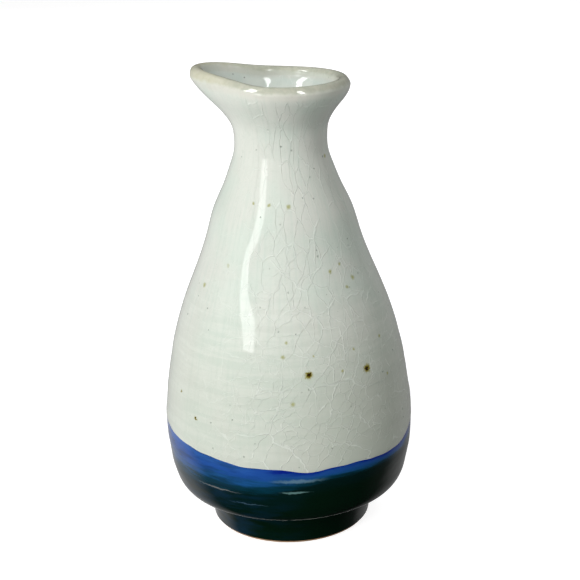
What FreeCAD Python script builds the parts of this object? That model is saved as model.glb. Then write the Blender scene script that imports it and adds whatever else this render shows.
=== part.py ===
"""Parametric model of a stoneware sake bottle (tokkuri) that holds one go, 180 ml.

The bottle stands on z = 0 with its axis on Z. Its front is towards -Y and its pouring lip
towards -X. It is seven pieces of material that meet face to face: the thrown clay body, the
luted foot ring, and five coats of glaze. Everything below the throat is a turned section.
Above the throat the lip flares and is pulled out to one side, so it is lofted through rings.
"""
import FreeCAD, Part
import math
import os
import Sketcher

# Driving dimensions, in millimetres and degrees.
SIZES = {
    "glaze_thickness": 0.4,
    "wall_thickness": 2.7,
    # Foot ring: a flared band under the body, with a recess inside it.
    "foot_height": 9.0,
    "foot_bottom_radius": 22.0,
    "foot_top_radius": 23.3,
    "foot_inner_radius": 18.2,
    "foot_edge_radius": 0.6,
    "bare_edge_height": 1.2,
    "spigot_radius": 17.0,
    "recess_height": 6.5,
    # Hollow: a flat floor that turns up into the wall.
    "floor_height": 12.0,
    "floor_turn_radius": 20.0,
    "corner_radius": 27.5,
    "low_wall_radius": 31.4,
    "low_wall_height": 18.5,
    # Edges of the glaze dips: planes tipped about a level line.
    "pale_line_height": 31.4,
    "pale_line_tilt": 4.6,
    "pale_line_turn": 20.5,
    "dark_line_height": 25.0,
    "dark_line_tilt": 5.2,
    "dark_line_turn": -66.8,
    "above_line_radius": 60.0,
    "above_line_depth": 120.0,
    # Lip: half the wall's thickness at the throat and at the rim.
    "throat_half_wall": 1.35,
    "rim_half_wall": 1.55,
    # Spout: the rim is pulled out and up at one side, and pinched in beside the pull.
    "spout_turn": -97.0,
    "spout_pull": 5.0,
    "spout_pull_power": 9.0,
    "spout_lift": 3.4,
    "spout_lift_power": 4.2,
    "spout_pinch": 1.2,
    "spout_pinch_turn": 50.0,
    "spout_pinch_spread": 26.0,
    "pull_rise_power": 3.0,
    "lift_rise_power": 4.0,
    # Iron wash: it covers the part of the rim that lies in this tube.
    "wash_tube_radius": 2.9,
    "wash_tube_rise": 1.0,
}

# Control points (radius, height) of the glazed wall, from the arris over the foot to the throat.
WALL_POLES = [
    (30.5, 11.6), (32.0, 12.8), (33.3, 16.0), (34.5, 22.0), (35.3, 31.0),
    (34.1, 42.0), (32.1, 54.0), (28.5, 66.0), (23.6, 77.0), (20.8, 85.0),
    (19.3, 91.5), (16.0, 97.5), (13.9, 103.5), (12.5, 107.0), (12.5, 109.5),
]
# Control points of the lip's centre line, from the throat to the middle of the rim.
LIP_POLES = [
    (10.75, 109.5), (10.75, 112.2), (10.96, 115.8), (14.6, 120.9), (16.9, 123.4), (17.0, 124.7),
]
BELLY_POLE = 4            # the hollow runs parallel to the wall from this control point up
CORNER_SHARE = 0.5        # share of a coat's depth by which the floor's corner moves in
UNDERCUT_SHARE = 0.7      # share of the glaze's depth by which it thins at the foot's corner
RING_TURNS = [7.5 * step for step in range(48)]      # angles of the points on a lofted ring
SIDE_STEPS = 8            # steps up each side of the lip
RIM_STEPS = 6             # steps over the rim, from one side to the other
TUBE_STEPS = 8            # rings round the tube that cuts the wash
FIT_TOLERANCE = 0.001     # how closely the lofted rings meet the turned edges


def pole_cells(prefix, poles):
    """Cell names and numbers for a list of control points."""
    cells = {}
    for index, (radius, height) in enumerate(poles):
        cells[f"{prefix}_radius_{index}"] = radius
        cells[f"{prefix}_height_{index}"] = height
    return cells


SIZES.update(pole_cells("wall", WALL_POLES))
SIZES.update(pole_cells("lip", LIP_POLES))


def make_sheet(doc):
    sheet = doc.addObject("Spreadsheet::Sheet", "sizes")
    for row, (name, number) in enumerate(SIZES.items(), start=1):
        sheet.set(f"A{row}", name)
        sheet.set(f"B{row}", str(number))
        sheet.setAlias(f"B{row}", name)
    doc.recompute()
    return sheet


# A coordinate is a pair: its number, and the expression that reads it from the sheet.

def size(name):
    return SIZES[name], f"sizes.{name}"


def plus(first, second, factor=1.0):
    """The coordinate first + factor * second."""
    return first[0] + factor * second[0], f"{first[1]} + ({factor:.5f}) * ({second[1]})"


def throat_height():
    return size(f"wall_height_{len(WALL_POLES) - 1}")


ZERO = (0.0, "")
NO_DEPTH = (0.0, "0")


def outward(poles, index):
    """Unit normal of the control polygon beside one control point, away from the axis."""
    last = len(poles) - 1
    before = min(max(index - 1, 0), last - 1)
    after = max(min(index + 1, last), 1)
    if index == 1:
        after = 1
    if index == last - 1:
        before = last - 1
    run = poles[after][0] - poles[before][0]
    rise = poles[after][1] - poles[before][1]
    length = math.hypot(run, rise)
    return rise / length, -run / length


def wall_curve(depth, first=0):
    """Control points of the wall's outline moved inwards by a depth."""
    points = []
    for index in range(first, len(WALL_POLES)):
        normal = outward(WALL_POLES, index)
        radius = plus(size(f"wall_radius_{index}"), depth, -normal[0])
        height = plus(size(f"wall_height_{index}"), depth, -normal[1])
        points.append((radius, height))
    return points


def hollow_curve(depth):
    """Control points of the hollow's outline, floor first, moved inwards by a depth."""
    floor = plus(size("floor_height"), depth)
    corner = (plus(size("corner_radius"), depth, -CORNER_SHARE), floor)
    low_wall = (plus(size("low_wall_radius"), depth, -1.0), size("low_wall_height"))
    wall = plus(size("glaze_thickness"), size("wall_thickness"))
    start = [(size("floor_turn_radius"), floor), corner, low_wall]
    return start + wall_curve(plus(wall, depth), first=BELLY_POLE)


class Outline:
    """A closed half section in a body's XZ plane, to be turned about Z."""

    def __init__(self, body, name):
        self.sketch = body.newObject("Sketcher::SketchObject", name)
        plane = [item for item in body.Origin.OriginFeatures if item.Role == "XZ_Plane"][0]
        self.sketch.AttachmentSupport = [(plane, "")]
        self.sketch.MapMode = "FlatFace"

    def hold(self, kind, coordinate, axis, geometry, position):
        """Hold one coordinate of a point on its expression, or on an axis when it is zero."""
        if coordinate == ZERO:
            rule = Sketcher.Constraint("PointOnObject", geometry, position, axis)
            self.sketch.addConstraint(rule)
            return
        rule = Sketcher.Constraint(kind, -1, 1, geometry, position, coordinate[0])
        index = self.sketch.addConstraint(rule)
        self.sketch.setExpression(f"Constraints[{index}]", coordinate[1])

    def place(self, point, geometry, position):
        self.hold("DistanceX", point[0], -2, geometry, position)
        self.hold("DistanceY", point[1], -1, geometry, position)

    def line(self, start, end):
        first = FreeCAD.Vector(start[0][0], start[1][0], 0)
        second = FreeCAD.Vector(end[0][0], end[1][0], 0)
        return self.sketch.addGeometry(Part.LineSegment(first, second), False)

    def curve(self, points):
        vectors = [FreeCAD.Vector(point[0][0], point[1][0], 0) for point in points]
        geometry = self.sketch.addGeometry(spline_curve(vectors), False)
        self.sketch.exposeInternalGeometry(geometry)
        for index, point in enumerate(points):
            self.place(point, geometry + 1 + index, 3)
        return geometry

    def draw(self, *pieces):
        """Draw a closed chain of corners (single points) and curves (lists of points)."""
        edges = []
        for piece, following in zip(pieces, pieces[1:] + pieces[:1]):
            is_curve = isinstance(piece, list)
            if is_curve:
                edges.append(self.curve(piece))
            start = piece[-1] if is_curve else piece
            end = following[0] if isinstance(following, list) else following
            edge = self.line(start, end)
            edges.append(edge)
            if not is_curve:
                self.place(piece, edge, 1)
        for first, second in zip(edges, edges[1:] + edges[:1]):
            self.sketch.addConstraint(Sketcher.Constraint("Coincident", first, 2, second, 1))
        return self.sketch


def spline_curve(vectors):
    """A clamped uniform cubic spline on its control points."""
    spans = len(vectors) - 3
    knots = [float(knot) for knot in range(spans + 1)]
    counts = [4] + [1] * (spans - 1) + [4]
    spline = Part.BSplineCurve()
    spline.buildFromPolesMultsKnots(vectors, counts, knots, False, 3)
    return spline


def new_body(doc, name):
    body = doc.addObject("PartDesign::Body", name)
    doc.recompute()
    return body


def turn(body, sketch, kind, name):
    """Turn a sketch about Z, adding material (Revolution) or cutting it away (Groove)."""
    feature = body.newObject(f"PartDesign::{kind}", name)
    feature.Profile = sketch
    feature.ReferenceAxis = (sketch, ["V_Axis"])
    feature.Angle = 360.0
    body.Document.recompute()
    return feature


# Turned pieces.

def turned_form(doc, name, *pieces):
    body = new_body(doc, name)
    sketch = Outline(body, f"{name}_outline").draw(*pieces)
    turn(body, sketch, "Revolution", f"{name}_turning")
    return body


def hollow_out(body, depth):
    """Cut the hollow, a depth smaller all round, out of a turned body."""
    name = f"{body.Name}_hollow"
    sketch = Outline(body, name).draw(
        (ZERO, plus(size("floor_height"), depth)),
        hollow_curve(depth),
        (ZERO, throat_height()))
    solid_volume = body.Shape.Volume
    turn(body, sketch, "Groove", f"{name}_cut")
    if body.Shape.Volume >= solid_volume:
        raise RuntimeError(f"{name} cut nothing")


def make_thrown_wall(doc):
    """Floor, belly, shoulder and neck up to the throat, with a spigot for the foot ring."""
    body = turned_form(
        doc, "thrown_wall",
        (ZERO, size("recess_height")),
        (size("spigot_radius"), size("recess_height")),
        (size("spigot_radius"), size("foot_height")),
        (size("foot_top_radius"), size("foot_height")),
        wall_curve(size("glaze_thickness")),
        (ZERO, throat_height()))
    hollow_out(body, NO_DEPTH)
    return body


def make_foot_ring(doc):
    body = turned_form(
        doc, "foot_ring",
        (size("foot_inner_radius"), ZERO),
        (size("foot_bottom_radius"), ZERO),
        (size("foot_top_radius"), size("foot_height")),
        (size("spigot_radius"), size("foot_height")),
        (size("spigot_radius"), size("recess_height")))
    edges = []
    for index, edge in enumerate(body.Shape.Edges, start=1):
        on_ground = all(abs(vertex.Z) < FIT_TOLERANCE for vertex in edge.Vertexes)
        if on_ground:
            edges.append(f"Edge{index}")
    turned = body.Tip
    fillet = body.newObject("PartDesign::Fillet", "foot_edges")
    fillet.Base = (turned, edges)
    fillet.setExpression("Radius", "sizes.foot_edge_radius")
    return body


def make_liner_wall(doc):
    """Glaze on the floor and the inside wall, up to the throat."""
    body = turned_form(
        doc, "liner_wall",
        (ZERO, size("floor_height")),
        hollow_curve(NO_DEPTH),
        (ZERO, throat_height()))
    hollow_out(body, size("glaze_thickness"))
    return body


def make_outer_coat(doc):
    """All the glaze outside, from just above the table to the throat, in one skin."""
    glaze = size("glaze_thickness")
    flare = (SIZES["foot_top_radius"] - SIZES["foot_bottom_radius"]) / SIZES["foot_height"]
    glazed = turned_form(
        doc, "glazed_form",
        (ZERO, size("bare_edge_height")),
        (plus(plus(size("foot_bottom_radius"), glaze), size("bare_edge_height"), flare),
         size("bare_edge_height")),
        (plus(size("foot_top_radius"), glaze), plus(size("foot_height"), glaze, -UNDERCUT_SHARE)),
        wall_curve(NO_DEPTH),
        (ZERO, throat_height()))
    clay = turned_form(
        doc, "clay_form",
        (ZERO, ZERO),
        (size("foot_bottom_radius"), ZERO),
        (size("foot_top_radius"), size("foot_height")),
        wall_curve(glaze),
        (ZERO, throat_height()))
    return boolean(doc, "Cut", "outer_coat", glazed, clay)


# Booleans and dips.

def boolean(doc, kind, name, base, tool):
    """A Part boolean of two objects: Cut, Common or Fuse."""
    result = doc.addObject(f"Part::{kind}", name)
    result.Base = base
    result.Tool = tool
    result.Refine = False
    doc.recompute()
    return result


def space_above(doc, line):
    """Everything above a tipped glaze line, as a cylinder that stands on that plane."""
    space = doc.addObject("Part::Cylinder", f"above_{line}")
    space.setExpression("Radius", "sizes.above_line_radius")
    space.setExpression("Height", "sizes.above_line_depth")
    space.setExpression("Placement.Base.z", f"sizes.{line}_height")
    space.setExpression("Placement.Rotation.Angle", f"sizes.{line}_tilt")
    space.setExpression("Placement.Rotation.Axis.x", f"cos(sizes.{line}_turn * 1 deg)")
    space.setExpression("Placement.Rotation.Axis.y", f"sin(sizes.{line}_turn * 1 deg)")
    space.setExpression("Placement.Rotation.Axis.z", "0")
    doc.recompute()
    return space


# Lip.

def bump(angle, power):
    """1 at angle zero, falling smoothly to 0 half a turn away; a high power makes it narrow."""
    return ((1.0 + math.cos(angle)) / 2.0) ** power


def spout_shift(sheet, turn_angle):
    """How far the rim moves outwards and upwards at one angle round the axis."""
    away = math.radians(turn_angle - sheet.spout_turn)
    away = math.atan2(math.sin(away), math.cos(away))
    spread = math.radians(sheet.spout_pinch_spread)
    pinch = 0.0
    for side in (-1, 1):
        centre = side * math.radians(sheet.spout_pinch_turn)
        pinch += math.exp(-((away - centre) / spread) ** 2)
    outwards = sheet.spout_pull * bump(away, sheet.spout_pull_power) - sheet.spout_pinch * pinch
    upwards = sheet.spout_lift * bump(away, sheet.spout_lift_power)
    return outwards, upwards


def lip_centre_line(sheet, turn_angle):
    """The middle of the lip's wall at one angle: its control points moved by the spout."""
    outwards, upwards = spout_shift(sheet, turn_angle)
    last = len(LIP_POLES) - 1
    start = sheet.lip_height_1
    rise = sheet.get(f"lip_height_{last}") - start
    poles = []
    for index in range(last + 1):
        radius = sheet.get(f"lip_radius_{index}")
        height = sheet.get(f"lip_height_{index}")
        part_way = max(height - start, 0.0) / rise
        radius += outwards * part_way ** sheet.pull_rise_power
        height += upwards * part_way ** sheet.lift_rise_power
        poles.append(FreeCAD.Vector(radius, height, 0))
    return spline_curve(poles)


def lip_section(sheet, turn_angle, depth):
    """Section of the lip at one angle: up outside, over the rim and down inside."""
    line = lip_centre_line(sheet, turn_angle)
    outside = []
    inside = []
    for step in range(SIDE_STEPS + 1):
        part_way = step / SIDE_STEPS
        place = line.FirstParameter + part_way * (line.LastParameter - line.FirstParameter)
        middle = line.value(place)
        along = line.tangent(place)[0]
        normal = FreeCAD.Vector(along.y, -along.x, 0)
        half = sheet.throat_half_wall + depth
        half += (sheet.rim_half_wall - sheet.throat_half_wall) * part_way ** 2
        outside.append(middle + normal * half)
        inside.append(middle - normal * half)
    rim = []
    for step in range(1, RIM_STEPS):
        angle = math.pi * step / RIM_STEPS
        rim.append(middle + normal * (half * math.cos(angle)) + along * (half * math.sin(angle)))
    return outside + rim + inside[::-1]


def ring_wire(points):
    ring = Part.BSplineCurve()
    ring.interpolate(Points=points, PeriodicFlag=True)
    return Part.Wire([ring.toShape()])


def round_axis(radius, height, turn_angle):
    angle = math.radians(turn_angle)
    return FreeCAD.Vector(radius * math.sin(angle), -radius * math.cos(angle), height)


def solid_of(faces):
    """The solid inside a closed set of faces."""
    shell = Part.makeShell(faces)
    shell.sewShape()
    solid = Part.makeSolid(Part.Shell(shell.Faces))
    if solid.Volume < 0:
        solid.reverse()
    return solid


def lip_shape(sheet, depth):
    """The lip as a solid ring on the throat's plane, its walls moved outwards by a depth."""
    sections = [lip_section(sheet, turn_angle, depth) for turn_angle in RING_TURNS]
    wires = []
    for ring in zip(*sections):
        points = [round_axis(point.x, point.y, turn_angle)
                  for turn_angle, point in zip(RING_TURNS, ring)]
        wires.append(ring_wire(points))
    skin = Part.makeLoft(wires, False, False)
    underside = Part.makeFace([wires[0], wires[-1]], "Part::FaceMakerBullseye")
    solid = solid_of(skin.Faces + underside.Faces)
    solid.fixTolerance(FIT_TOLERANCE)
    return solid


def wash_tube_shape(sheet):
    """A closed tube that runs round the rim, for cutting the wash from the coat."""
    wires = []
    for step in range(TUBE_STEPS):
        angle = 2.0 * math.pi * step / TUBE_STEPS
        points = []
        for turn_angle in RING_TURNS:
            line = lip_centre_line(sheet, turn_angle)
            middle = line.value(line.LastParameter)
            radius = middle.x + sheet.wash_tube_radius * math.cos(angle)
            height = middle.y + sheet.wash_tube_rise + sheet.wash_tube_radius * math.sin(angle)
            points.append(round_axis(radius, height, turn_angle))
        wires.append(ring_wire(points))
    return solid_of(Part.makeLoft(wires, False, False, True).Faces)


def shaped(doc, name, shape):
    feature = doc.addObject("Part::Feature", name)
    feature.Shape = shape
    return feature


def make_lip(doc, sheet):
    """The lip: its clay, the wash on its rim, and the glaze skins outside and inside it."""
    clay = shaped(doc, "clay_lip", lip_shape(sheet, 0.0))
    glazed = shaped(doc, "glazed_lip", lip_shape(sheet, sheet.glaze_thickness))
    coat = boolean(doc, "Cut", "lip_coat", glazed, clay)
    tube = shaped(doc, "wash_tube", wash_tube_shape(sheet))
    wash = boolean(doc, "Common", "rim_wash", coat, tube)
    below = boolean(doc, "Cut", "lip_coat_below_wash", coat, tube)
    inner, outer = sorted(below.Shape.Solids, key=lambda solid: solid.Volume)
    return clay, wash, shaped(doc, "outer_lip_skin", outer), shaped(doc, "inner_lip_skin", inner)


def make_pieces(doc, sheet):
    """Every sub-part, by the name of its node."""
    clay_lip, rim_wash, outer_skin, inner_skin = make_lip(doc, sheet)
    outer_coat = make_outer_coat(doc)
    above_pale = space_above(doc, "pale_line")
    above_dark = space_above(doc, "dark_line")
    pale_coat = boolean(doc, "Common", "pale_coat", outer_coat, above_pale)
    below_pale = boolean(doc, "Cut", "below_pale", outer_coat, above_pale)
    return {
        "clay_body": boolean(doc, "Fuse", "clay_body", make_thrown_wall(doc), clay_lip),
        "foot_ring": make_foot_ring(doc),
        "dark_glaze": boolean(doc, "Cut", "dark_glaze", outer_coat, above_dark),
        "cobalt_band": boolean(doc, "Common", "cobalt_band", below_pale, above_dark),
        "crackle_glaze": boolean(doc, "Fuse", "crackle_glaze", pale_coat, outer_skin),
        "rim_wash": rim_wash,
        "liner_glaze": boolean(doc, "Fuse", "liner_glaze", make_liner_wall(doc), inner_skin),
    }


def check(doc, pieces):
    """Stop if anything failed to build, or a piece isn't one valid solid."""
    for item in doc.Objects:
        if "Invalid" in item.State or "Error" in item.State:
            raise RuntimeError(f"{item.Name} failed: {item.State}")
    for name, piece in pieces.items():
        shape = piece.Shape
        if shape.isNull() or not shape.isValid() or len(shape.Solids) != 1:
            raise RuntimeError(f"{name} is not one valid solid")
        print(f"{name}: {shape.Volume / 1000:.2f} ml, {len(shape.Faces)} faces")


def main():
    doc = FreeCAD.newDocument("sake_bottle")
    sheet = make_sheet(doc)
    pieces = make_pieces(doc, sheet)
    for name, piece in pieces.items():
        piece.Label = name
    doc.recompute()
    check(doc, pieces)
    os.makedirs("parts", exist_ok=True)
    for name, piece in pieces.items():
        piece.Shape.exportStep(f"parts/{name}.step")


main()
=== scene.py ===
import math

import bpy
import numpy as np
from mathutils import Matrix, Vector


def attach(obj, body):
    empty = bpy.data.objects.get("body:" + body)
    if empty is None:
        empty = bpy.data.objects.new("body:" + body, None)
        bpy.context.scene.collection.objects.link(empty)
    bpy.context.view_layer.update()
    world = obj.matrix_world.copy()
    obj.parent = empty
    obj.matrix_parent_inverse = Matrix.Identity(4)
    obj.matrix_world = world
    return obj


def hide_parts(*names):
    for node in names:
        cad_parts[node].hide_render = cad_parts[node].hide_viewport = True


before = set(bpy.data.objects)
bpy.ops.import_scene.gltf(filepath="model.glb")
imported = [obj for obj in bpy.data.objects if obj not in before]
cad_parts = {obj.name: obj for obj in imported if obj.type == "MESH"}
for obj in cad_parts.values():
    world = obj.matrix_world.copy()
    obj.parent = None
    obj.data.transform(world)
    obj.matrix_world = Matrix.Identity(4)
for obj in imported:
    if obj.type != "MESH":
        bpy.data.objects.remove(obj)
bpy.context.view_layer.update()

MM = 0.001

# ---------------------------------------------------------------- shape, in millimetres

# The glazed outline below the throat and the lip's centre line repeat the CAD's control points.
WALL_POLES = [
    (30.5, 11.6), (32.0, 12.8), (33.3, 16.0), (34.5, 22.0), (35.3, 31.0),
    (34.1, 42.0), (32.1, 54.0), (28.5, 66.0), (23.6, 77.0), (20.8, 85.0),
    (19.3, 91.5), (16.0, 97.5), (13.9, 103.5), (12.5, 107.0), (12.5, 109.5),
]
LIP_POLES = [
    (10.75, 109.5), (10.75, 112.2), (10.96, 115.8), (14.6, 120.9), (16.9, 123.4), (17.0, 124.7),
]
# The hollow has a flat floor and a bend, then follows the wall from its belly point upwards.
# The floor's rows run inwards from an edge and stop just short of the axis.
FLOOR_HEIGHT, FLOOR_EDGE, FLOOR_MIDDLE = 12.4, 19.0, 0.05
HOLLOW_POLES = [(20.0, FLOOR_HEIGHT), (27.3, FLOOR_HEIGHT), (31.0, 18.5)]
BELLY_POLE = 4
GLAZED_WALL = 3.5            # clay with glaze on both sides
THROAT_HALF, RIM_HALF = 1.75, 1.95    # half the lip's thickness, with its glaze

# The spout: the rim is pulled out and up at one angle, and pinched in on each side of it.
SPOUT_TURN = math.radians(-97.0)
SPOUT_PULL, PULL_POWER = 5.0, 9.0
SPOUT_LIFT, LIFT_POWER = 3.4, 4.2
PINCH, PINCH_TURN, PINCH_SPREAD = 1.2, math.radians(50.0), math.radians(26.0)
PULL_RISE, LIFT_RISE = 3.0, 4.0       # powers by which both grow from the throat to the rim
# The rim is round, a little flattened on its upper outer side.
FLAT_TURN, FLAT_REACH, FLAT_DEPTH = math.radians(38.0), math.radians(45.0), 0.20

FOOT_BOTTOM, FOOT_TOP, FOOT_HEIGHT = 22.0, 23.3, 9.0
FOOT_INNER, SPIGOT, RECESS = 18.2, 17.0, 6.5
FOOT_POINTS = 96             # points of the foot ring's section
ARRIS_REACH, POOL_REACH = 0.7, 1.3    # how far from their corners these bends start
BEND_POINTS = 7
GLAZE = 0.4
GLAZE_END = 1.2              # height at which the dark glaze stops on the foot

# Glaze lines: planes tipped by the way the bottle was held in the glaze (height and slopes),
# and the wall's radius there.
PALE_LINE, PALE_RADIUS = (31.4, -0.028, 0.075), 34.9
DARK_LINE, DARK_RADIUS = (25.0, 0.084, 0.036), 34.2
# Tongues that hang below a line: angle from the front and spread in degrees, and depth, which
# is negative where the line rises instead.
PALE_TONGUES = ((8.0, 7.0, 1.1), (54.0, 19.0, 1.4), (168.0, 9.0, 0.7))
DARK_TONGUES = ((8.0, 15.0, -1.0), (62.0, 20.0, 1.5))
# Small waves of a line: how many in a turn, and size.
PALE_WAVES, PALE_SEED = ((5, 0.10), (9, 0.12), (17, 0.08), (31, 0.05)), 3
DARK_WAVES, DARK_SEED = ((4, 0.25), (7, 0.2), (13, 0.1)), 5

TURNS = 360                  # columns of each piece's grid, and their angles round the axis
COLUMN_TURNS = np.linspace(0.0, 2.0 * math.pi, TURNS, endpoint=False)
WALL_POINTS = 4000           # points of the wall from which the grid's rows are taken


def spline(poles, count):
    """Points and unit tangents of a clamped uniform cubic spline, evenly spaced in parameter."""
    poles = np.array(poles, float)
    spans = len(poles) - 3
    knots = np.concatenate([[0.0] * 3, np.arange(spans + 1), [spans] * 3])
    places = np.linspace(0.0, spans, count)
    places[-1] -= 1e-9       # keeps the last place inside the last span

    def value(control, degree, knot):
        """The curve of these control points at every place, by repeated interpolation."""
        index = np.searchsorted(knot, places, side="right") - 1
        work = [control[index - degree + step] for step in range(degree + 1)]
        for level in range(1, degree + 1):
            for step in range(degree, level - 1, -1):
                low = knot[index - degree + step]
                high = knot[index + 1 + step - level]
                share = ((places - low) / (high - low))[:, None]
                work[step] = (1.0 - share) * work[step - 1] + share * work[step]
        return work[degree]

    gaps = (knots[4:-1] - knots[1:-4])[:, None]
    slopes = 3.0 * (poles[1:] - poles[:-1]) / gaps
    tangents = value(slopes, 2, knots[1:-1])
    tangents /= np.linalg.norm(tangents, axis=1)[:, None]
    return value(poles, 3, knots), tangents


def right_normal(tangents):
    """Normals a quarter turn clockwise from the tangents: outwards, where they point up."""
    return np.stack([tangents[:, 1], -tangents[:, 0]], axis=1)


def smooth_between(value, start, end):
    """0 before the start and 1 past the end, smooth between. The end may be the smaller one."""
    share = np.clip((value - start) / (end - start), 0.0, 1.0)
    return share * share * (3.0 - 2.0 * share)


def bump(angle, power):
    """1 at angle zero, falling smoothly to 0 half a turn away."""
    return ((1.0 + math.cos(angle)) / 2.0) ** power


def spout_shift(turn):
    """How far the rim moves outwards and upwards at one angle round the axis."""
    away = math.atan2(math.sin(turn - SPOUT_TURN), math.cos(turn - SPOUT_TURN))
    pinch = sum(math.exp(-((away - side * PINCH_TURN) / PINCH_SPREAD) ** 2) for side in (-1, 1))
    return SPOUT_PULL * bump(away, PULL_POWER) - PINCH * pinch, SPOUT_LIFT * bump(away, LIFT_POWER)


def lip_section(turn, side_steps, rim_steps):
    """The lip's glazed section at one angle: up outside, over the rim and down inside."""
    outwards, upwards = spout_shift(turn)
    poles = np.array(LIP_POLES)
    part_way = np.clip((poles[:, 1] - poles[1, 1]) / (poles[-1, 1] - poles[1, 1]), 0.0, 1.0)
    poles[:, 0] += outwards * part_way ** PULL_RISE
    poles[:, 1] += upwards * part_way ** LIFT_RISE
    middle, along = spline(poles, side_steps)
    normal = right_normal(along)
    share = np.linspace(0.0, 1.0, side_steps)[:, None]
    half = THROAT_HALF + (RIM_HALF - THROAT_HALF) * share ** 2
    outside = middle + normal * half
    inside = middle - normal * half
    angles = np.linspace(0.0, math.pi, rim_steps)[1:-1, None]
    away = np.clip((angles - FLAT_TURN) / FLAT_REACH, -1.0, 1.0)
    reach = RIM_HALF - FLAT_DEPTH * np.cos(away * math.pi / 2.0) ** 2
    rim = middle[-1] + reach * (np.cos(angles) * normal[-1] + np.sin(angles) * along[-1])
    return np.concatenate([outside, rim, inside[::-1]])


def offset_poles(poles, depth):
    """Control points moved inwards along the normals of their polygon."""
    poles = np.array(poles, float)
    chords = poles[1:] - poles[:-1]
    spans = poles[3:-1] - poles[1:-3]
    runs = np.concatenate([chords[:1], chords[:1], spans, chords[-1:], chords[-1:]])
    runs /= np.linalg.norm(runs, axis=1)[:, None]
    return poles - depth * right_normal(runs)


def arc(centre, radius, start, end, count):
    """Points on a circle from one angle to another, in degrees."""
    angles = np.radians(np.linspace(start, end, count))[:, None]
    return np.array(centre) + radius * np.concatenate([np.cos(angles), np.sin(angles)], axis=1)


def corner_arc(before, corner, after, reach, count):
    """A smooth bend that leaves and meets two straight runs a reach from their corner."""
    corner = np.array(corner, float)
    start = corner + reach * unit(np.array(before) - corner)
    end = corner + reach * unit(np.array(after) - corner)
    share = np.linspace(0.0, 1.0, count)[:, None]
    return (1 - share) ** 2 * start + 2 * share * (1 - share) * corner + share ** 2 * end


def unit(vector):
    """The vector's direction, one unit long."""
    return vector / np.linalg.norm(vector)


def along_path(points):
    """Distance along a path at each of its points."""
    steps = np.linalg.norm(np.diff(points, axis=0), axis=1)
    return np.concatenate([[0.0], np.cumsum(steps)])


def resample(points, places):
    """Points on a path at given distances along it."""
    reach = along_path(points)
    return np.stack([np.interp(places, reach, points[:, axis]) for axis in (0, 1)], axis=1)


def line_height(line, turn, radius):
    """Height of a tipped glaze line on the wall at one angle."""
    level, slope_x, slope_y = line
    return level + radius * (slope_x * math.sin(turn) - slope_y * math.cos(turn))


def wander(turn, waves, seed):
    """A smooth closed wave round the bottle, at one angle."""
    chance = np.random.default_rng(seed)
    total = 0.0
    for count, size in waves:
        total += size * math.sin(count * turn + chance.uniform(0.0, 2.0 * math.pi))
    return total


def angle_gap(turn, degrees):
    """Degrees from one angle to the turn, the short way round."""
    away = turn - math.radians(degrees)
    return math.degrees(math.atan2(math.sin(away), math.cos(away)))


def hang(turn, tongues):
    """How far the tongues of a glaze line hang below it at one angle."""
    return sum(depth * math.exp(-(angle_gap(turn, middle) / spread) ** 2)
               for middle, spread, depth in tongues)


def pale_edge(turn):
    """Height of the pale glaze's lower edge."""
    level = line_height(PALE_LINE, turn, PALE_RADIUS)
    return level - hang(turn, PALE_TONGUES) + wander(turn, PALE_WAVES, PALE_SEED)


def dark_edge(turn):
    """Height at which the cobalt gives way to the dark glaze."""
    level = line_height(DARK_LINE, turn, DARK_RADIUS)
    return level - hang(turn, DARK_TONGUES) + wander(turn, DARK_WAVES, DARK_SEED)


# Rows of the skin's grid, from the foot's glaze end, up outside, over the rim and down inside.
BEAD_ROWS, FOOT_ROWS, DARK_ROWS, BLUE_ROWS, PALE_ROWS = 3, 31, 30, 12, 126
LIP_ROWS, RIM_ROWS, INNER_ROWS, FLOOR_ROWS = 30, 31, 60, 8
WASH_ROWS = 2                # rows of the lip, each side of the rim, that the wash covers
BACK_STEP = 8                # a coat's back has one row for so many of its face

DARK_ROW = BEAD_ROWS + FOOT_ROWS + DARK_ROWS
PALE_ROW = DARK_ROW + BLUE_ROWS
THROAT_ROW = PALE_ROW + PALE_ROWS
RIM_START = THROAT_ROW + LIP_ROWS - 1
RIM_END = RIM_START + RIM_ROWS - 1
WASH_START, WASH_END = RIM_START - WASH_ROWS, RIM_END + WASH_ROWS


def foot_skin():
    """The glazed outline under the wall: a rounded end, the foot's side, a pooled corner and
    the undercut below the wall's arris."""
    flare = (FOOT_TOP - FOOT_BOTTOM) / FOOT_HEIGHT
    edge = np.array([FOOT_BOTTOM + flare * GLAZE_END, GLAZE_END])
    bead = edge + GLAZE * np.array([[-0.1, -1.1], [0.45, -0.95], [0.85, -0.5], [1.0, 0.1]])
    corner = np.array([FOOT_TOP + GLAZE, FOOT_HEIGHT - 0.7 * GLAZE])
    arris = np.array(WALL_POLES[0])
    pool = corner_arc(bead[-1], corner, arris, POOL_REACH, BEND_POINTS)
    turned = corner_arc(corner, arris, WALL_POLES[1], ARRIS_REACH, BEND_POINTS)
    side = np.concatenate([bead[BEAD_ROWS:], pool, turned])
    places = np.linspace(0.0, along_path(side)[-1], FOOT_ROWS, endpoint=False)
    return np.concatenate([bead[:BEAD_ROWS], resample(side, places)])


FOOT_SKIN = foot_skin()
WALL = spline(WALL_POLES, WALL_POINTS)[0]
WALL_REACH = along_path(WALL)
INNER_POLES = np.concatenate([HOLLOW_POLES, offset_poles(WALL_POLES, GLAZED_WALL)[BELLY_POLE:]])
INNER_WALL = spline(INNER_POLES, INNER_ROWS)[0][::-1]
FLOOR = np.linspace((FLOOR_EDGE, FLOOR_HEIGHT), (FLOOR_MIDDLE, FLOOR_HEIGHT), FLOOR_ROWS)


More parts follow.
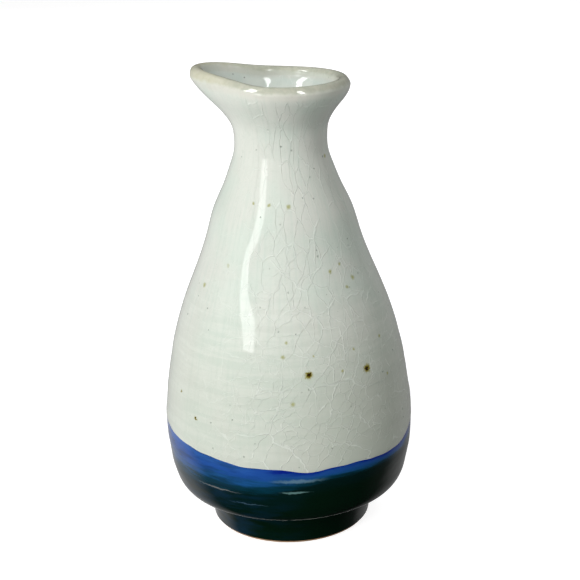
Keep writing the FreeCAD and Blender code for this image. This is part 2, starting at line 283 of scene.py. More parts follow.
def meridian(turn):
    """The glazed outline at one angle, as (radius, height) for every row of the grid."""
    dark = np.interp(dark_edge(turn), WALL[:, 1], WALL_REACH)
    pale = np.interp(pale_edge(turn), WALL[:, 1], WALL_REACH)
    places = np.concatenate([
        np.linspace(ARRIS_REACH, dark, DARK_ROWS + 1),
        np.linspace(dark, pale, BLUE_ROWS + 1)[1:],
        np.linspace(pale, WALL_REACH[-1], PALE_ROWS + 1)[1:]])
    lip = lip_section(turn, LIP_ROWS, RIM_ROWS)
    return np.concatenate([FOOT_SKIN, resample(WALL, places), lip[1:-1], INNER_WALL, FLOOR])


# Finger rings: pitch, size, how fast their spiral climbs, and phase.
RINGS = ((12.5, 0.055, 1, 0.4), (7.1, 0.028, -1, 2.1), (3.7, 0.008, 2, 4.0))
RINGS_FADE, RINGS_LOST = (44.0, 62.0), 0.9      # on the shoulder most of their depth is lost
RINGS_INSIDE = 2.0           # how much deeper they are inside
OVAL, LOBED = 0.08, 0.04     # how far out of round the wall is, in two and in three waves
# Heights between which the rings start, above the foot, and end, below the rim.
OUTER_START, OUTER_END = (13.0, 19.0), (118.0, 104.0)
INNER_START, INNER_END = (13.0, 17.0), (112.0, 96.0)


def throwing_rings(turns, outlines):
    """How far the thrown wall stands out or in: finger rings that climb as a slow spiral."""
    height = outlines[:, :, 1]
    rows = np.arange(outlines.shape[1])
    outside = smooth_between(height, *OUTER_START) * smooth_between(height, *OUTER_END)
    outside = outside * (rows < RIM_START)
    inside = smooth_between(height, *INNER_START) * smooth_between(height, *INNER_END)
    inside = inside * (rows > RIM_END)
    turns = turns[:, None]
    rings = np.zeros_like(height)
    for pitch, size, climb, phase in RINGS:
        rings += size * np.sin(2.0 * math.pi * height / pitch + climb * turns + phase)
    rings *= 1.0 - RINGS_LOST * smooth_between(height, *RINGS_FADE)
    wobble = OVAL * np.sin(2.0 * turns + height / 30.0) + LOBED * np.sin(3.0 * turns + 1.0)
    return outside * (rings + wobble) - inside * (RINGS_INSIDE * rings + wobble)


# A twist left in the shoulder by the hand that held it: proud on its left, sunken on its right.
MARK_TURN, MARK_SPREAD = math.radians(-26.0), math.radians(15.0)
MARK_PROUD, MARK_TWIST = 0.30, 0.77
MARK_FOOT, MARK_TOP = (60.5, 76.0), (81.5, 91.0)


def hand_mark(turns, outlines):
    """How far the hand mark stands out of the wall."""
    height = outlines[:, :, 1]
    away = turns - MARK_TURN
    away = (np.arctan2(np.sin(away), np.cos(away)) / MARK_SPREAD)[:, None]
    upright = smooth_between(height, *MARK_FOOT) * (1.0 - smooth_between(height, *MARK_TOP))
    upright = upright * (np.arange(outlines.shape[1]) < THROAT_ROW)
    return np.exp(-away ** 2) * (MARK_PROUD - MARK_TWIST * away) * upright


# The pale glaze's rolled edge: thickness, and heights above it where that starts and ends.
ROLL, ROLL_START, ROLL_END = 0.12, (0.0, 0.9), (9.0, 1.5)


def glaze_swell(outlines):
    """Extra thickness of the pale glaze, which ends in a soft rounded step over the blue."""
    rows = np.arange(outlines.shape[1])
    above = outlines[:, :, 1] - outlines[:, PALE_ROW, 1][:, None]
    covered = (rows >= PALE_ROW) & (rows < THROAT_ROW)
    roll = ROLL * smooth_between(above, *ROLL_START) * smooth_between(above, *ROLL_END)
    return roll * covered


def around(turns, outlines):
    """Turns (radius, height) outlines, one for each angle, into points in space."""
    radius, height = outlines[:, :, 0], outlines[:, :, 1]
    turns = turns[:, None]
    return np.stack([radius * np.sin(turns), -radius * np.cos(turns), height], axis=2)


def grid_normals(grid):
    """Unit normals of a grid that is closed round the axis, pointing out of the glaze."""
    round_axis = np.roll(grid, -1, axis=0) - np.roll(grid, 1, axis=0)
    normals = np.cross(round_axis, np.gradient(grid, axis=1))
    return normals / np.linalg.norm(normals, axis=2)[:, :, None]


def ring_faces(columns, rows):
    """Quads of a grid that is closed both round the axis and round its own section."""
    faces = []
    for column in range(columns):
        following = (column + 1) % columns
        for row in range(rows):
            above = (row + 1) % rows
            faces.append((column * rows + row, following * rows + row,
                          following * rows + above, column * rows + above))
    return faces


def mesh_piece(name, points, faces, normals=None):
    """A smooth mesh object in metres, from points in millimetres."""
    mesh = bpy.data.meshes.new(name)
    mesh.from_pydata((points * MM).tolist(), [], faces)
    mesh.shade_smooth()
    if normals is not None:
        mesh.normals_split_custom_set_from_vertices(normals.tolist())
    piece = bpy.data.objects.new(name, mesh)
    bpy.context.scene.collection.objects.link(piece)
    return piece


def add_values(piece, name, values):
    """Gives a piece one number per vertex, which its material can read."""
    attribute = piece.data.attributes.new(name, "FLOAT", "POINT")
    attribute.data.foreach_set("value", np.asarray(values, np.float32).ravel())


class Skin:
    """The whole glazed surface as one grid, from which each coat of glaze is cut."""

    def __init__(self):
        outlines = np.array([meridian(turn) for turn in COLUMN_TURNS])
        thrown = around(COLUMN_TURNS, outlines)
        swell = throwing_rings(COLUMN_TURNS, outlines) + glaze_swell(outlines)
        swell = swell + hand_mark(COLUMN_TURNS, outlines)
        self.points = thrown + swell[:, :, None] * grid_normals(thrown)
        self.normals = grid_normals(self.points)
        steps = np.linalg.norm(np.diff(outlines, axis=1, prepend=outlines[:, :1]), axis=2)
        reach = np.cumsum(steps, axis=1)
        self.from_rim = np.abs(reach - reach[:, (RIM_START + RIM_END) // 2][:, None])
        self.over_pale = outlines[:, :, 1] - outlines[:, PALE_ROW, 1][:, None]
        self.over_dark = outlines[:, :, 1] - outlines[:, DARK_ROW, 1][:, None]

    def coat(self, name, first, last):
        """One coat of glaze between two rows: the grid's face and a plainer back, closed."""
        front = list(range(first, last + 1))
        back = list(range(last, first, -BACK_STEP)) + [first]
        face, reverse = self.points[:, front], self.points[:, back]
        reverse = reverse - GLAZE * self.normals[:, back]
        points = np.concatenate([face, reverse], axis=1)
        normals = np.concatenate([self.normals[:, front], -self.normals[:, back]], axis=1)
        faces = ring_faces(TURNS, len(front) + len(back))
        piece = mesh_piece(name, points.reshape(-1, 3), faces, normals.reshape(-1, 3))
        rows = front + back
        add_values(piece, "from_rim", self.from_rim[:, rows])
        add_values(piece, "over_pale", self.over_pale[:, rows])
        add_values(piece, "over_dark", self.over_dark[:, rows])
        return piece


def foot_ring_piece():
    """The turned foot: rounded bare edges on the ground and a slightly dished inner side."""
    inner_edge, outer_edge = 0.5, 0.6
    top, side = FOOT_HEIGHT - 0.05, FOOT_TOP - 0.05      # just inside the clay and glaze it meets
    corners = np.concatenate([
        [(SPIGOT, RECESS), (FOOT_INNER - 0.75, RECESS - 1.8), (FOOT_INNER - 0.25, 2.4)],
        arc((FOOT_INNER + inner_edge, inner_edge), inner_edge, 180.0, 270.0, 8),
        arc((FOOT_BOTTOM - outer_edge, outer_edge), outer_edge, 270.0, 355.0, 9),
        [(side, top), (SPIGOT, top), (SPIGOT, RECESS)],
    ])
    places = np.linspace(0.0, along_path(corners)[-1], FOOT_POINTS, endpoint=False)
    section = resample(corners, places)
    outlines = np.repeat(section[None], TURNS, axis=0)
    depth, pitch, lowest = 0.04, 0.9, 1.0       # turning marks on the inner side
    climb = 2.0 * math.pi * outlines[:, :, 1] / pitch
    chatter = depth * np.sin(climb + COLUMN_TURNS[:, None])
    chatter = chatter * (outlines[:, :, 0] < FOOT_INNER) * (outlines[:, :, 1] > lowest)
    outlines[:, :, 0] += chatter
    points = around(COLUMN_TURNS, outlines)
    return mesh_piece("foot_ring_turned", points.reshape(-1, 3), ring_faces(TURNS, len(section)))


# ---------------------------------------------------------------- materials


def colour(red, green, blue):
    """A linear colour from screen values of 0 to 255."""
    return tuple(((part / 255.0 + 0.055) / 1.055) ** 2.4 for part in (red, green, blue)) + (1.0,)


# Tones of the crackle glaze, of the spots in it, and of the wash over the rim.
GREENER, GREYER = colour(206, 216, 205), colour(212, 215, 206)
BAND, WALL_STREAK, MOTTLE = colour(224, 228, 219), colour(187, 203, 191), colour(181, 191, 178)
# The first tone here greys the lower wall, and on its right side stands for painted shade.
GREYER_LOW_AND_SHADED, CRAZE_PALE = colour(185, 191, 178), colour(240, 245, 238)
FLECK, OCHRE = colour(118, 130, 116), colour(154, 154, 74)
IRON_HALO, IRON = colour(142, 134, 50), colour(46, 30, 8)
BLUSH, WASH_THIN = colour(210, 203, 190), colour(207, 205, 189)
WASH_RIGHT, WASH_LEFT = colour(181, 184, 167), colour(193, 192, 169)
RIM_SPECK = colour(96, 92, 74)
# Tones of the liner, of the deep glazes and of the bare clay.
LINER, LINER_CLOUD = colour(203, 213, 205), colour(215, 221, 213)
LINER_CRAZE, LINER_SPECK = colour(232, 238, 232), colour(96, 104, 100)
COBALT_RIGHT, COBALT_LEFT = colour(9, 44, 136), colour(40, 88, 162)
BLUISH, ARRIS_BREAK_AND_GLINT = colour(10, 42, 66), colour(212, 212, 206)
CLAY, GROG, TOAST = colour(150, 116, 86), colour(192, 160, 126), colour(172, 126, 88)


class Nodes:
    """A node tree being put together. Most methods add nodes and return the last one's output."""

    def __init__(self, tree):
        self.tree = tree

    def node(self, kind, inputs=(), **settings):
        """Adds one node, with its settings and then its inputs, and returns the node itself."""
        made = self.tree.nodes.new(kind)
        for name, value in settings.items():
            setattr(made, name, value)
        for socket, value in dict(inputs).items():
            self.feed(made.inputs[socket], value)
        return made

    def feed(self, socket, value):
        """Links an output to a socket, or gives the socket a plain value."""
        if isinstance(value, bpy.types.NodeSocket):
            self.tree.links.new(value, socket)
        else:
            socket.default_value = value

    def math(self, operation, first, second=0.0, third=0.0, clamp=False):
        """A number worked out from up to three numbers."""
        return self.node("ShaderNodeMath", {0: first, 1: second, 2: third},
                         operation=operation, use_clamp=clamp).outputs[0]

    def vector(self, operation, first, second=(0.0, 0.0, 0.0)):
        """A vector worked out from up to two vectors."""
        return self.node("ShaderNodeVectorMath", {0: first, 1: second},
                         operation=operation).outputs["Vector"]

    def scaled(self, point, x, y, z):
        """The point multiplied along each axis."""
        return self.vector("MULTIPLY", point, (x, y, z))

    def measure(self, operation, first, second=(0.0, 0.0, 0.0)):
        """A number worked out from vectors."""
        return self.node("ShaderNodeVectorMath", {0: first, 1: second},
                         operation=operation).outputs["Value"]

    def combine(self, x, y, z):
        """A vector of three numbers."""
        return self.node("ShaderNodeCombineXYZ", {0: x, 1: y, 2: z}).outputs[0]

    def separate(self, point):
        """The three numbers of a vector."""
        return self.node("ShaderNodeSeparateXYZ", {0: point}).outputs

    def step(self, value, start, end, top=1.0):
        """0 before the start and top past the end, which may be the smaller; smooth between."""
        if start < end:
            ends = (start, end, 0.0, top)
        else:
            ends = (end, start, top, 0.0)
        inputs = {"Value": value, "From Min": ends[0], "From Max": ends[1],
                  "To Min": ends[2], "To Max": ends[3]}
        return self.node("ShaderNodeMapRange", inputs, interpolation_type="SMOOTHSTEP").outputs[0]

    def mix(self, share, first, second):
        """The first colour where the share is 0 and the second where it is 1."""
        # The mix node's colours are its inputs 6 and 7 and its output 2.
        return self.node("ShaderNodeMix", {0: share, 6: first, 7: second},
                         data_type="RGBA").outputs[2]

    def tinted(self, base, tone, strength, share):
        """The base taken towards a tone, by a strength where the share is 1."""
        return self.mix(self.math("MULTIPLY", share, strength), base, tone)

    def noise(self, point, size, detail=2.0, roughness=0.5, part="Fac"):
        """Noise from 0 to 1 whose features are about one size across, in millimetres."""
        inputs = {"Vector": point, "Scale": 1.0 / size, "Detail": detail, "Roughness": roughness}
        return self.node("ShaderNodeTexNoise", inputs).outputs[part]

    def drift(self, point, size, reach, detail=2.0, roughness=0.5):
        """A random shift of up to half a reach each way, which changes over about one size."""
        shift = self.noise(point, size, detail, roughness, part="Color")
        return self.scaled(self.vector("SUBTRACT", shift, (0.5, 0.5, 0.5)), *reach)

    def cells(self, point, size, **settings):
        """All outputs of a pattern of cells that are about one size across."""
        inputs = {"Vector": point, "Scale": 1.0 / size}
        return self.node("ShaderNodeTexVoronoi", inputs, **settings).outputs


class Shader(Nodes):
    """The nodes of one new material."""

    def __init__(self, name):
        self.material = bpy.data.materials.new(name)
        self.material.use_nodes = True
        super().__init__(self.material.node_tree)
        self.surface = self.tree.nodes["Principled BSDF"]

    def value(self, name):
        """A number that the mesh holds for each of its vertices."""
        return self.node("ShaderNodeAttribute", attribute_name=name).outputs["Fac"]

    def millimetres(self):
        """The point being shaded, in millimetres from the frame's origin."""
        point = self.node("ShaderNodeTexCoord").outputs["Object"]
        return self.scaled(point, 1.0 / MM, 1.0 / MM, 1.0 / MM)

    def bump(self, height, strength, depth):
        """A normal that follows a height, whose depth is in millimetres."""
        return self.node("ShaderNodeBump", {"Height": height, "Strength": strength,
                                            "Distance": depth * MM}).outputs[0]


MIDDLING_RADIUS = 30.0


def unrolled(shader, point):
    """The point on the wall rolled out flat: along the turn at a middling radius, and up."""
    x, y, z = shader.separate(point)
    turn = shader.math("ARCTAN2", x, shader.math("MULTIPLY", y, -1.0))
    return shader.combine(shader.math("MULTIPLY", turn, MIDDLING_RADIUS), z, 0.0)


# Craze lines: cell size, stretch along the lines, lean in degrees, line width, strength,
# and the heights between which they fade in.
CRAZES = (
    (4.4, 1.6, 5.0, 0.18, 0.9, (46.0, 72.0)),
    (4.8, 1.7, -42.0, 0.17, 0.9, (96.0, 76.0)),
    (2.3, 1.4, -30.0, 0.12, 0.8, (66.0, 52.0)),
)
CELLS_APART, PATCHES_APART = 37.0, 60.0    # so that no two sets of lines share their noise


def craze_lines(shader, flat):
    """Craze lines on the rolled-out wall, from 0 to 1: upright, slanting and a fine net."""
    # The lines bend slowly and shake a little. On the bottle's left they are faded as painted
    # light, since light falling there head-on would hide them.
    bent = shader.vector("ADD", flat, shader.drift(flat, 9.0, (5.0, 5.0, 0.0)))
    bent = shader.vector("ADD", bent, shader.drift(flat, 1.6, (1.0, 1.0, 0.0), 1.0))
    along, up = shader.separate(flat)[0:2]
    # Painted light: the lines fade on the lit left side.
    faded_on_lit_side = shader.math("MULTIPLY_ADD", shader.step(along, -24.0, -4.0), 0.75, third=0.25)
    lines = 0.0
    for number, (size, stretch, lean, width, strength, fade) in enumerate(CRAZES):
        turned = shader.node("ShaderNodeMapping", {
            "Vector": bent, "Location": (CELLS_APART * number, 0.0, 0.0),
            "Rotation": (0.0, 0.0, math.radians(lean)), "Scale": (size, size * stretch, 1.0),
        }, vector_type="TEXTURE").outputs[0]
        cells = shader.cells(turned, 1.0, feature="DISTANCE_TO_EDGE", voronoi_dimensions="2D")
        elsewhere = shader.vector("ADD", flat, (PATCHES_APART * number, 0.0, 0.0))
        patches = shader.noise(elsewhere, 12.0, 1.0)
        share = shader.math("MULTIPLY", shader.step(patches, 0.31, 0.48), shader.step(up, *fade))
        line = shader.math("MULTIPLY", shader.step(cells["Distance"], width / size, 0.0), share)
        lines = shader.math("MAXIMUM", shader.math("MULTIPLY", line, strength), lines)
    return shader.math("MULTIPLY", lines, faded_on_lit_side)


# Spots that burnt through the pale glaze: angle from the front in degrees, height and radius.
IRON_SPOTS = (
    (10, 54.1, 1.35), (41, 52.8, 1.5), (-60, 44.7, 0.55), (-47, 39.4, 0.75), (139, 61.0, 1.2),
    (-128, 48.5, 0.9), (176, 78.0, 0.7),
)
OCHRE_SPOTS = (
    (-2, 59.0, 0.85), (0, 62.5, 0.7), (2, 46.8, 0.9), (27, 53.8, 0.6), (35, 58.6, 0.6),
    (55, 59.3, 0.75), (5, 95.6, 0.9), (-12, 96.0, 0.7), (-40, 80.1, 0.9), (-59, 73.6, 1.0),
    (48, 75.7, 1.0), (41, 73.9, 0.7), (31, 78.5, 0.8), (40, 79.8, 0.6), (64, 106.3, 0.8),
    (55, 49.0, 0.6), (-27, 96.3, 0.6), (13, 58.8, 0.45), (98, 70.0, 0.9), (121, 43.0, 0.8),
    (-150, 66.0, 0.9), (-101, 88.0, 0.7), (158, 52.0, 0.8), (-164, 39.0, 0.7),
)
GREY_FLECKS = (
    (24, 82.8, 0.42), (2, 74.7, 0.42), (-10, 80.5, 0.40), (-37, 69.8, 0.34), (11, 70.8, 0.36),
    (-4, 65.3, 0.36), (6, 49.9, 0.36), (13, 109.5, 0.42), (-31, 109.5, 0.34), (-55, 107.0, 0.34),
    (31, 102.2, 0.34), (31, 78.5, 0.3), (41, 80.0, 0.34), (-92, 61.0, 0.4), (112, 84.0, 0.4),
)


def on_wall(degrees, height):
    """The point of the wall at one angle and height."""
    radius = float(np.interp(height, WALL[:, 1], WALL[:, 0]))
    turn = math.radians(degrees)
    return (radius * math.sin(turn), -radius * math.cos(turn), height)


def spots(shader, point, places):
    """How deep inside the nearest spot the point is: 1 at its middle, 0 at its edge."""
    deepest = 0.0
    for degrees, height, radius in places:
        away = shader.measure("DISTANCE", point, on_wall(degrees, height))
        depth = shader.math("MULTIPLY_ADD", away, -1.0 / radius, third=1.0, clamp=True)
        deepest = shader.math("MAXIMUM", depth, deepest)
    return deepest


def glassy(shader, base, roughness, normal, under=None):
    """A fired glaze: a clear glossy coat over its colour, which can be uneven underneath."""
    surface = shader.surface
    shader.feed(surface.inputs["Base Color"], base)
    surface.inputs["Roughness"].default_value = 0.6
    surface.inputs["Specular IOR Level"].default_value = 0.0
    surface.inputs["Coat Weight"].default_value = 1.0
    surface.inputs["Coat IOR"].default_value = 1.5
    surface.inputs["Coat Roughness"].default_value = roughness
    shader.feed(surface.inputs["Coat Normal"], normal)
    if under is not None:
        shader.feed(surface.inputs["Normal"], under)
    return shader.material


def glaze_body(shader, point, flat):
    """The crackle glaze's colour: greener and greyer, with wheel bands, streaks and mottling, and
    painted shade on the lower right.
    """
    x, _, z = shader.separate(point)
    tint = shader.step(shader.noise(point, 19.0, 3.0), 0.38, 0.62)
    base = shader.mix(tint, GREENER, GREYER)
    bands = shader.noise(shader.scaled(point, 0.05, 0.05, 0.55), 1.0, 4.0, 0.6)
    bands = shader.math("MULTIPLY", shader.step(bands, 0.43, 0.61), shader.step(z, 84.0, 56.0))
    base = shader.tinted(base, BAND, 0.68, bands)
    streaks = shader.noise(shader.scaled(flat, 0.9, 0.05, 1.0), 1.0, 3.0, 0.6)
    base = shader.tinted(base, WALL_STREAK, 0.25, shader.step(streaks, 0.45, 0.70))
    mottle = shader.noise(point, 1.0, 3.0, 0.7)
    base = shader.tinted(base, MOTTLE, 0.22, shader.step(mottle, 0.5, 0.75))
    # Greyer towards the bottom, and painted shade: greyer still towards the bottle's right, away
    # from the light.
    low_grey_and_shade = shader.math("MULTIPLY_ADD", shader.step(x, -10.0, 20.0), 0.30, third=0.52)
    return shader.tinted(base, GREYER_LOW_AND_SHADED, low_grey_and_shade, shader.step(z, 82.0, 42.0))


def rim_tint(shader, point, base):
    """Iron from the wash: olive over the rim, and a thin warm line where it thins out."""
    ragged = shader.math("SUBTRACT", shader.noise(point, 2.6, 3.0, 0.6), 0.5)
    run = shader.math("MULTIPLY_ADD", ragged, 1.6, third=shader.value("from_rim"))
    blush = shader.math("MULTIPLY", shader.step(run, 1.9, 2.7), shader.step(run, 5.2, 3.2))
    base = shader.tinted(base, BLUSH, 0.35, blush)
    x = shader.separate(point)[0]
    wash = shader.mix(shader.step(x, -8.0, -19.0), WASH_RIGHT, WASH_LEFT)
    patches = shader.step(shader.noise(point, 1.7, 4.0, 0.7), 0.38, 0.66)
    wash = shader.tinted(wash, WASH_THIN, 0.5, patches)
    return shader.mix(shader.step(run, 3.0, 1.7), base, wash)


def specks(shader, point):
    """Tiny dark specks scattered through the glaze."""
    cells = shader.cells(point, 2.9)
    chosen = shader.step(shader.separate(cells["Color"])[0], 0.55, 0.85)
    return shader.math("MULTIPLY", chosen, shader.step(cells["Distance"], 0.11, 0.06))


def spotted(shader, point, base):
    """The pale glaze's spots: grey flecks, ochre ones with ragged edges and burst iron ones."""
    ragged = shader.drift(point, 0.7, (0.9, 0.9, 0.9), 3.0, 0.7)
    ragged = shader.vector("ADD", point, ragged)
    grey = shader.math("MAXIMUM", specks(shader, ragged), spots(shader, ragged, GREY_FLECKS))
    base = shader.tinted(base, FLECK, 0.7, shader.step(grey, 0.0, 0.9))
    ochre = spots(shader, ragged, OCHRE_SPOTS)
    base = shader.tinted(base, OCHRE, 0.72, shader.step(ochre, 0.0, 0.8))
    burst = shader.drift(point, 0.5, (1.9, 1.9, 1.9), 3.0, 0.7)
    iron = spots(shader, shader.vector("ADD", point, burst), IRON_SPOTS)
    base = shader.mix(shader.step(iron, 0.0, 0.50), base, IRON_HALO)
    return shader.mix(shader.step(iron, 0.42, 0.75), base, IRON)


def pale_material(name):
    """The crackle glaze over most of the wall."""
    shader = Shader(name)
    point = shader.millimetres()
    flat = unrolled(shader, point)
    base = glaze_body(shader, point, flat)
    lines = craze_lines(shader, flat)
    base = shader.tinted(base, CRAZE_PALE, 0.42, lines)
    base = spotted(shader, point, rim_tint(shader, point, base))
    ripple = shader.bump(shader.noise(point, 9.0, 2.0), 0.4, 0.2)
    return glassy(shader, base, 0.02, ripple, shader.bump(lines, 1.0, 0.11))


def cobalt_depth(shader, point):
    """How far down the cobalt the point is: 0 at the pale glaze, 1 where it has gone dark."""
    over_pale = shader.value("over_pale")
    band = shader.math("SUBTRACT", shader.value("over_dark"), over_pale)
    depth = shader.math("DIVIDE", shader.math("MULTIPLY", over_pale, -1.0), band)
    streaky = shader.noise(shader.scaled(point, 0.12, 0.12, 0.9), 1.0, 4.0, 0.6)
    return shader.math("MULTIPLY_ADD", shader.math("SUBTRACT", streaky, 0.5), 0.9, third=depth)


# The deep glazes' tones and the depths between which each one comes in, from the top down.
DEEP_TONES = (
    (0.05, 0.40, (29, 74, 146)), (0.40, 0.80, (24, 76, 128)), (0.70, 1.05, (6, 50, 66)),
    (0.95, 1.5, (1, 26, 24)), (1.5, 3.0, (0, 23, 12)),
)
# Streaks in the dark glaze, the pale ones painted reflections and the deep blue one a patch of the
# glaze itself: angle, height, half width, half height and colour.
STREAKS_AND_REFLECTIONS = (
    (4, 25.3, 9.0, 0.8, (96, 128, 142)), (2, 21.9, 5.0, 0.45, (104, 140, 138)),
    (-36, 20.6, 9.0, 0.30, (118, 118, 116)), (-20, 17.4, 7.0, 0.22, (60, 82, 96)),
    (-4, 28.2, 4.6, 0.75, (2, 12, 124)), (150, 24.6, 10.0, 0.8, (70, 104, 130)),
    (-120, 21.0, 9.0, 0.5, (60, 92, 104)),
)


def deep_colours(shader, point):
    """The lower glazes: cobalt under the pale edge, sinking through teal to black green."""
    depth = cobalt_depth(shader, point)
    x = shader.separate(point)[0]
    base = shader.mix(shader.step(x, 2.0, -16.0), COBALT_RIGHT, COBALT_LEFT)
    for start, end, tone in DEEP_TONES:
        base = shader.mix(shader.step(depth, start, end), base, colour(*tone))
    bluish = shader.noise(shader.scaled(point, 0.10, 0.10, 0.5), 1.0, 4.0, 0.6)
    bluish = shader.math("MULTIPLY", shader.step(bluish, 0.40, 0.66), shader.step(x, 8.0, -18.0))
    base = shader.tinted(base, BLUISH, 0.5, bluish)
    ragged = shader.drift(point, 2.2, (4.0, 4.0, 1.3), 4.0, 0.65)
    ragged = shader.vector("ADD", point, ragged)
    # Pale painted reflections and a deep blue glaze patch, each a soft oval.
    for degrees, height, half_width, half_height, tone in STREAKS_AND_REFLECTIONS:
        away = shader.vector("SUBTRACT", ragged, on_wall(degrees, height))
        away = shader.scaled(away, 1.0 / half_width, 1.0 / half_width, 1.0 / half_height)
        near = shader.step(shader.measure("LENGTH", away), 1.0, 0.2)
        base = shader.tinted(base, colour(*tone), 0.75, near)
    return base


def deep_material(name):
    """Cobalt and dark glaze in one, pale in a broken line along the arris over the foot: partly
    glaze broken thin over the edge, partly a painted highlight.
    """
    shader = Shader(name)
    point = shader.millimetres()
    base = deep_colours(shader, point)
    z = shader.separate(point)[2]
    broken = shader.noise(point, 3.0, 3.0)
    # The arris line's near-white tone is partly glaze broken thin and partly a painted highlight.
    edge = shader.math("ABSOLUTE", shader.math("SUBTRACT", z, WALL_POLES[0][1]))
    edge = shader.math("MULTIPLY", shader.step(edge, 0.38, 0.16), shader.step(broken, 0.22, 0.42))
    base = shader.tinted(base, ARRIS_BREAK_AND_GLINT, 0.95, edge)
    ripple = shader.noise(shader.scaled(point, 0.2, 0.2, 0.6), 1.0, 2.0)
    return glassy(shader, base, 0.06, shader.bump(ripple, 0.3, 0.2))


def rim_material(name):
    """The iron wash over the rim, on crackle glaze."""
    shader = Shader(name)
    point = shader.millimetres()
    base = rim_tint(shader, point, glaze_body(shader, point, unrolled(shader, point)))
    base = shader.mix(specks(shader, point), base, RIM_SPECK)
    return glassy(shader, base, 0.04, shader.bump(shader.noise(point, 4.0, 2.0), 0.3, 0.12))


def liner_material(name):
    """The paler crackle glaze inside."""
    shader = Shader(name)
    point = shader.millimetres()
    flat = unrolled(shader, point)
    cloud = shader.step(shader.noise(point, 5.0, 3.0), 0.35, 0.65)
    base = shader.mix(cloud, LINER, LINER_CLOUD)
    base = shader.tinted(base, LINER_CRAZE, 0.4, craze_lines(shader, flat))
    base = rim_tint(shader, point, base)
    base = shader.mix(specks(shader, point), base, LINER_SPECK)
    return glassy(shader, base, 0.04, shader.bump(shader.noise(point, 6.0, 2.0), 0.3, 0.15))


def clay_material(name):
    """Bare fired stoneware: toasted tan, with grog and the marks of turning."""
    shader = Shader(name)
    point = shader.millimetres()
    grog = shader.noise(point, 0.5, 4.0, 0.7)
    base = shader.mix(grog, CLAY, GROG)
    toast = shader.step(shader.noise(point, 8.0, 3.0), 0.4, 0.65)
    base = shader.tinted(base, TOAST, 0.5, toast)
    shader.feed(shader.surface.inputs["Base Color"], base)
    shader.surface.inputs["Roughness"].default_value = 0.85
    x, y, _ = shader.separate(point)
    radius = shader.measure("LENGTH", shader.combine(x, y, 0.0))
    grooves = shader.math("SINE", shader.math("MULTIPLY", radius, 6.0))
    height = shader.math("MULTIPLY_ADD", grooves, 0.25, third=grog)
    shader.feed(shader.surface.inputs["Normal"], shader.bump(height, 0.7, 0.2))
    return shader.material


# ---------------------------------------------------------------- the pieces

skin = Skin()
FLOOR_ROW = skin.points.shape[1] - 1
deep_gloss = deep_material("deep_gloss")
# The coats: name, the CAD node it replaces, slot, first and last row of the skin, and material.
COATS = (
    ("dark_coat", "dark_glaze", "dark_glaze", 0, DARK_ROW, deep_gloss),
    ("cobalt_coat", "cobalt_band", "cobalt_glaze", DARK_ROW, PALE_ROW, deep_gloss),
    ("pale_coat", "crackle_glaze", "crackle_glaze", PALE_ROW, WASH_START,
     pale_material("crackle_gloss")),
    ("rim_coat", "rim_wash", "rim_wash", WASH_START, WASH_END, rim_material("rim_gloss")),
    ("liner_coat", "liner_glaze", "liner_glaze", WASH_END, FLOOR_ROW,
     liner_material("liner_gloss")),
)
for name, node, slot, first, last, material in COATS:
    coat = skin.coat(name, first, last)
    coat.data.materials.append(material)
    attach(coat, "root")
    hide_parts(node)

foot = foot_ring_piece()
foot.data.materials.append(clay_material("foot_clay_bare"))
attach(foot, "root")
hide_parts("foot_ring")

body_clay = bpy.data.objects["clay_body"]
body_clay.data.materials.clear()
body_clay.data.materials.append(clay_material("recess_clay"))

# ---------------------------------------------------------------- stage, lights and camera


def add_camera():
    """The camera stands in front and above, tipped a little sideways."""
    place, target = Vector((0.0013, -0.3562, 0.1865)), Vector((0.0013, 0.0, 0.0671))
    roll = math.radians(-1.658)
    view = bpy.data.cameras.new("view")
    view.lens = 83.66
    view.sensor_width = 36.0
    camera = bpy.data.objects.new("view", view)
    bpy.context.scene.collection.objects.link(camera)
    aim = (target - place).to_track_quat("-Z", "Y").to_matrix().to_4x4()
    camera.matrix_world = Matrix.Translation(place) @ aim @ Matrix.Rotation(roll, 4, "Z")
    bpy.context.scene.camera = camera


def add_floor():
    """A plain white sheet, bright enough by itself to stay white in the bottle's soft shadow."""
    side = 3.0
    mesh = bpy.data.meshes.new("floor")
    mesh.from_pydata([(-side, -side, 0), (side, -side, 0), (side, side, 0), (-side, side, 0)],
                     [], [(0, 1, 2, 3)])
    floor = bpy.data.objects.new("floor", mesh)
    bpy.context.scene.collection.objects.link(floor)
    shader = Shader("floor_white")
    surface = shader.surface
    surface.inputs["Base Color"].default_value = (0.5, 0.5, 0.5, 1.0)
    surface.inputs["Roughness"].default_value = 0.9
    surface.inputs["Emission Color"].default_value = (1.0, 1.0, 1.0, 1.0)
    surface.inputs["Emission Strength"].default_value = 0.82
    mesh.materials.append(shader.material)
    floor.visible_glossy = False
    floor.visible_diffuse = False


# Lights: name, degrees round from the front, degrees up, distance, width, tallness, power, and
# what takes it up. The window lights everything, the colour ones leave no highlight, and the
# gloss ones add only glints, on the lip and in the mouth.
LIGHTS = (
    ("window", -40.0, 25.8, 1.18, 0.240, 0.71, 2.30, "all"),
    ("diffuser", -40.0, 20.0, 1.15, 0.50, 1.00, 10.6, "colour"),
    ("fill", 60.0, 47.0, 1.15, 0.50, 0.50, 4.3, "colour"),
    ("back_fill", 180.0, 30.0, 1.15, 0.50, 0.50, 3.0, "colour"),
    ("left_glint", -66.0, 52.0, 1.15, 0.23, 0.37, 3.3, "gloss"),
    ("right_glint", 45.0, 47.0, 1.15, 0.15, 0.38, 2.3, "gloss"),
)


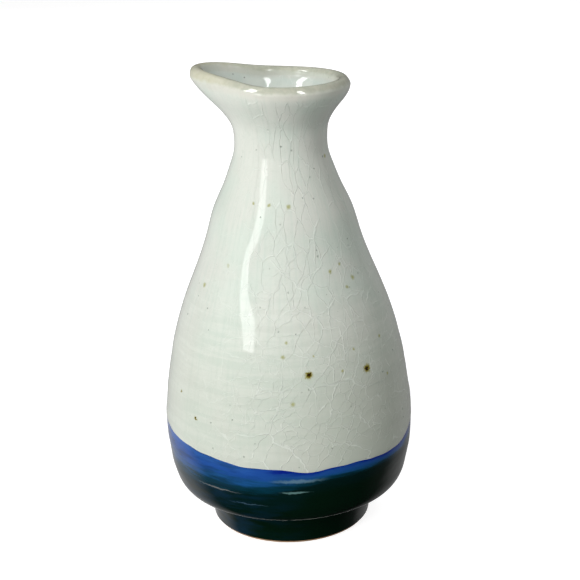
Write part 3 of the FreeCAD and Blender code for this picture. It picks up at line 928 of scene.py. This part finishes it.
def add_light(name, turn, lift, distance, width, tallness, power, takes):
    """A soft light panel that faces the bottle."""
    middle = Vector((0.0, 0.0, 0.07))
    turn, lift = math.radians(turn), math.radians(lift)
    level = math.cos(lift)
    way = Vector((level * math.sin(turn), -level * math.cos(turn), math.sin(lift)))
    lamp = bpy.data.lights.new(name, "AREA")
    lamp.shape = "RECTANGLE"
    lamp.size, lamp.size_y = width, tallness
    lamp.energy = power
    panel = bpy.data.objects.new(name, lamp)
    panel.location = middle + distance * way
    panel.rotation_mode = "QUATERNION"
    panel.rotation_quaternion = (-way).to_track_quat("-Z", "Y")
    panel.visible_glossy = takes != "colour"
    panel.visible_diffuse = takes != "gloss"
    bpy.context.scene.collection.objects.link(panel)


# The room round the bottle: direction it lies in, how wide it spreads as cosines, brightness.
ROOM = (
    ((-0.58, 0.69, -0.42), 0.74, 0.97, 0.50),
    ((0.50, 0.80, -0.35), 0.76, 0.97, 0.20),
    ((-0.95, 0.05, 0.30), 0.20, 0.95, 0.13),
    ((0.80, 0.60, 0.20), 0.30, 0.95, 0.09),
    ((0.0, 0.2, 1.0), 0.30, 0.95, 0.25),
)
ROOM_DARK = 0.01
# Light from the sheet below, which only the colour takes up: all of it, and its bright side.
BOUNCE = (
    ((0.0, 0.0, -1.0), 0.0, 0.4, 0.30),
    ((-0.71, -0.41, -0.57), 0.0, 0.95, 0.38),
)


def brightness(nodes, direction, lobes, total):
    """The light from one direction: a base total and the lobes that reach it."""
    for way, edge, middle, strength in lobes:
        toward = nodes.measure("DOT_PRODUCT", direction, Vector(way).normalized())
        total = nodes.math("ADD", nodes.step(toward, edge, middle, strength), total)
    return total


def add_world():
    """A dim room with a bright side, a duller side and a pale ceiling; plain white to look at."""
    world = bpy.data.worlds.new("studio")
    world.use_nodes = True
    bpy.context.scene.world = world
    nodes = Nodes(world.node_tree)
    direction = nodes.node("ShaderNodeTexCoord").outputs["Generated"]
    path = nodes.node("ShaderNodeLightPath").outputs
    bounce = brightness(nodes, direction, BOUNCE, 0.0)
    bounce = nodes.math("MULTIPLY", bounce, path["Is Diffuse Ray"])
    total = nodes.math("ADD", bounce, brightness(nodes, direction, ROOM, ROOM_DARK))
    background = nodes.tree.nodes["Background"]
    background.inputs["Color"].default_value = (1.0, 1.0, 1.0, 1.0)
    nodes.feed(background.inputs["Strength"], nodes.math("MAXIMUM", total, path["Is Camera Ray"]))


add_camera()
add_floor()
add_world()
for light in LIGHTS:
    add_light(*light)
bpy.context.scene.view_settings.view_transform = "Standard"
